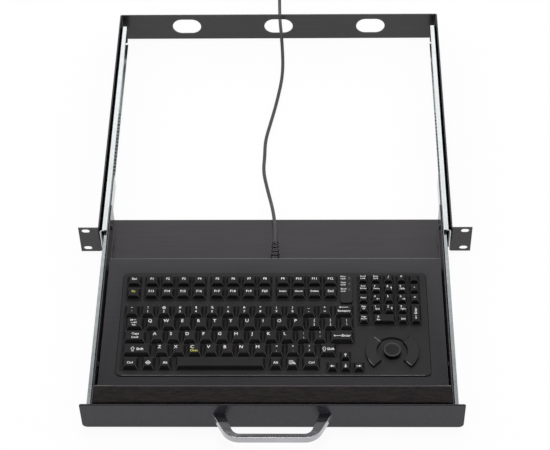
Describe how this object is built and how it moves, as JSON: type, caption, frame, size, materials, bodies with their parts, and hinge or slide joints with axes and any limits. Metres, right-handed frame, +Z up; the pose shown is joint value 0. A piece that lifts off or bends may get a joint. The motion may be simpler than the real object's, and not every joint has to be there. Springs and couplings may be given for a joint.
{
  "type": "rackmount keyboard drawer",
  "caption": "Low rack drawer on ball slides that carries a flat rubber keyboard with number pad and pointing disc, a palm pad, a bow handle and a cable through its rear panel.",
  "frame": {"origin": "on the ground under the middle of the object's box, cable left out", "axes": "+X to the right of someone at the keyboard, +Y to the back of the rack, +Z up"},
  "size_m": [0.4826, 0.8332, 0.0437],
  "materials": {
    "black_steel": "semi-matt powder coat",
    "panel_steel": "smooth satin paint",
    "zinc_steel": "bright zinc plate",
    "ball_steel": "polished",
    "handle_chrome": "polished chrome plate",
    "palm_pad": "fine textured foam cover",
    "stop_rubber": "matt",
    "keypad_silicone": "matt silicone",
    "pointer_plastic": "matt",
    "board_laminate": "solder mask",
    "lens_clear": "clear lens, unlit",
    "cable_sheath": "flexible sheath",
    "plug_steel": "plain"
  },
  "bodies": {
    "chassis": {"chassis_frame": "black_steel", "left_outer_rail": "zinc_steel", "right_outer_rail": "zinc_steel", "outer_rail_screws": "zinc_steel", "rail_bumpers": "stop_rubber", "keyboard_cable": "cable_sheath", "cable_coil": "cable_sheath", "plug_moulding": "cable_sheath", "plug_shell": "plug_steel"},
    "ball_cages": {"left_ball_cage": "zinc_steel", "right_ball_cage": "zinc_steel", "bearing_balls": "ball_steel"},
    "drawer": {"left_inner_rail": "zinc_steel", "right_inner_rail": "zinc_steel", "inner_rail_screws": "zinc_steel", "drawer_tray": "black_steel", "front_panel": "panel_steel", "pull_handle": "handle_chrome", "handle_screws": "zinc_steel", "palm_rest": "palm_pad", "keyboard_bezel": "black_steel", "keypad_mat": "keypad_silicone", "switch_board": "board_laminate", "board_standoffs": "zinc_steel", "indicator_block": "keypad_silicone", "indicator_lenses": "lens_clear", "strain_relief": "stop_rubber"},
    "upper_function_keys": {"upper_function_keys": "keypad_silicone"},
    "lower_function_keys": {"lower_function_keys": "keypad_silicone"},
    "number_keys": {"number_keys": "keypad_silicone"},
    "backspace_key": {"backspace_key": "keypad_silicone"},
    "tab_key": {"tab_key": "keypad_silicone"},
    "upper_letter_keys": {"upper_letter_keys": "keypad_silicone"},
    "caps_lock_key": {"caps_lock_key": "keypad_silicone"},
    "home_letter_keys": {"home_letter_keys": "keypad_silicone"},
    "enter_key": {"enter_key": "keypad_silicone"},
    "left_shift_key": {"left_shift_key": "keypad_silicone"},
    "lower_letter_keys": {"lower_letter_keys": "keypad_silicone"},
    "right_shift_key": {"right_shift_key": "keypad_silicone"},
    "left_modifier_keys": {"left_modifier_keys": "keypad_silicone"},
    "space_bar": {"space_bar": "keypad_silicone"},
    "right_modifier_keys": {"right_modifier_keys": "keypad_silicone"},
    "arrow_keys": {"arrow_keys": "keypad_silicone"},
    "numpad_keys": {"numpad_keys": "keypad_silicone"},
    "numpad_zero_key": {"numpad_zero_key": "keypad_silicone"},
    "numpad_enter_key": {"numpad_enter_key": "keypad_silicone"},
    "left_pointer_button": {"left_pointer_button": "keypad_silicone"},
    "right_pointer_button": {"right_pointer_button": "keypad_silicone"},
    "pointer_stem": {"pointer_stem": "pointer_plastic"},
    "pointer_disc": {"pointer_disc": "pointer_plastic"}
  },
  "joints": [
    {"name": "drawer_slide", "type": "slide", "parent": "chassis", "child": "drawer", "axis": [0, 1, 0], "range_m": [0, 0.2597], "deforming": ["keyboard_cable"]},
    {"name": "cage_slide", "type": "slide", "parent": "chassis", "child": "ball_cages", "axis": [0, 1, 0], "range_m": [0, 0.13]},
    {"name": "upper_function_keys_press", "type": "slide", "parent": "drawer", "child": "upper_function_keys", "axis": [0, 0, -1], "range_m": [0, 0.0018], "stiffness_N_per_m": 2730, "springref_m": -0.003},
    {"name": "lower_function_keys_press", "type": "slide", "parent": "drawer", "child": "lower_function_keys", "axis": [0, 0, -1], "range_m": [0, 0.0018], "stiffness_N_per_m": 2730, "springref_m": -0.003},
    {"name": "number_keys_press", "type": "slide", "parent": "drawer", "child": "number_keys", "axis": [0, 0, -1], "range_m": [0, 0.0018], "stiffness_N_per_m": 2730, "springref_m": -0.003},
    {"name": "backspace_key_press", "type": "slide", "parent": "drawer", "child": "backspace_key", "axis": [0, 0, -1], "range_m": [0, 0.0018], "stiffness_N_per_m": 300, "springref_m": -0.003},
    {"name": "tab_key_press", "type": "slide", "parent": "drawer", "child": "tab_key", "axis": [0, 0, -1], "range_m": [0, 0.0018], "stiffness_N_per_m": 300, "springref_m": -0.003},
    {"name": "upper_letter_keys_press", "type": "slide", "parent": "drawer", "child": "upper_letter_keys", "axis": [0, 0, -1], "range_m": [0, 0.0018], "stiffness_N_per_m": 2730, "springref_m": -0.003},
    {"name": "caps_lock_key_press", "type": "slide", "parent": "drawer", "child": "caps_lock_key", "axis": [0, 0, -1], "range_m": [0, 0.0018], "stiffness_N_per_m": 300, "springref_m": -0.003},
    {"name": "home_letter_keys_press", "type": "slide", "parent": "drawer", "child": "home_letter_keys", "axis": [0, 0, -1], "range_m": [0, 0.0018], "stiffness_N_per_m": 2310, "springref_m": -0.003},
    {"name": "enter_key_press", "type": "slide", "parent": "drawer", "child": "enter_key", "axis": [0, 0, -1], "range_m": [0, 0.0018], "stiffness_N_per_m": 300, "springref_m": -0.003},
    {"name": "left_shift_key_press", "type": "slide", "parent": "drawer", "child": "left_shift_key", "axis": [0, 0, -1], "range_m": [0, 0.0018], "stiffness_N_per_m": 300, "springref_m": -0.003},
    {"name": "lower_letter_keys_press", "type": "slide", "parent": "drawer", "child": "lower_letter_keys", "axis": [0, 0, -1], "range_m": [0, 0.0018], "stiffness_N_per_m": 2100, "springref_m": -0.003},
    {"name": "right_shift_key_press", "type": "slide", "parent": "drawer", "child": "right_shift_key", "axis": [0, 0, -1], "range_m": [0, 0.0018], "stiffness_N_per_m": 300, "springref_m": -0.003},
    {"name": "left_modifier_keys_press", "type": "slide", "parent": "drawer", "child": "left_modifier_keys", "axis": [0, 0, -1], "range_m": [0, 0.0018], "stiffness_N_per_m": 630, "springref_m": -0.003},
    {"name": "space_bar_press", "type": "slide", "parent": "drawer", "child": "space_bar", "axis": [0, 0, -1], "range_m": [0, 0.0018], "stiffness_N_per_m": 700, "springref_m": -0.003},
    {"name": "right_modifier_keys_press", "type": "slide", "parent": "drawer", "child": "right_modifier_keys", "axis": [0, 0, -1], "range_m": [0, 0.0018], "stiffness_N_per_m": 630, "springref_m": -0.003},
    {"name": "arrow_keys_press", "type": "slide", "parent": "drawer", "child": "arrow_keys", "axis": [0, 0, -1], "range_m": [0, 0.0018], "stiffness_N_per_m": 840, "springref_m": -0.003},
    {"name": "numpad_keys_press", "type": "slide", "parent": "drawer", "child": "numpad_keys", "axis": [0, 0, -1], "range_m": [0, 0.0018], "stiffness_N_per_m": 4410, "springref_m": -0.003},
    {"name": "numpad_zero_key_press", "type": "slide", "parent": "drawer", "child": "numpad_zero_key", "axis": [0, 0, -1], "range_m": [0, 0.0018], "stiffness_N_per_m": 300, "springref_m": -0.003},
    {"name": "numpad_enter_key_press", "type": "slide", "parent": "drawer", "child": "numpad_enter_key", "axis": [0, 0, -1], "range_m": [0, 0.0018], "stiffness_N_per_m": 300, "springref_m": -0.003},
    {"name": "left_pointer_button_press", "type": "slide", "parent": "drawer", "child": "left_pointer_button", "axis": [0, 0, -1], "range_m": [0, 0.001], "stiffness_N_per_m": 400, "springref_m": -0.002},
    {"name": "right_pointer_button_press", "type": "slide", "parent": "drawer", "child": "right_pointer_button", "axis": [0, 0, -1], "range_m": [0, 0.001], "stiffness_N_per_m": 400, "springref_m": -0.002},
    {"name": "pointer_tilt_forward", "type": "hinge", "parent": "drawer", "child": "pointer_stem", "pos_m": [0.1383, -0.2204, 0.0203], "axis": [1, 0, 0], "range_deg": [-4, 4], "stiffness_Nm_per_rad": 0.08},
    {"name": "pointer_tilt_sideways", "type": "hinge", "parent": "pointer_stem", "child": "pointer_disc", "pos_m": [0.1383, -0.2204, 0.0276], "axis": [0, 1, 0], "range_deg": [-4, 4], "stiffness_Nm_per_rad": 0.08}
  ],
  "couplings": [
    {"joint": "cage_slide", "follows": "drawer_slide", "ratio": 0.5}
  ]
}
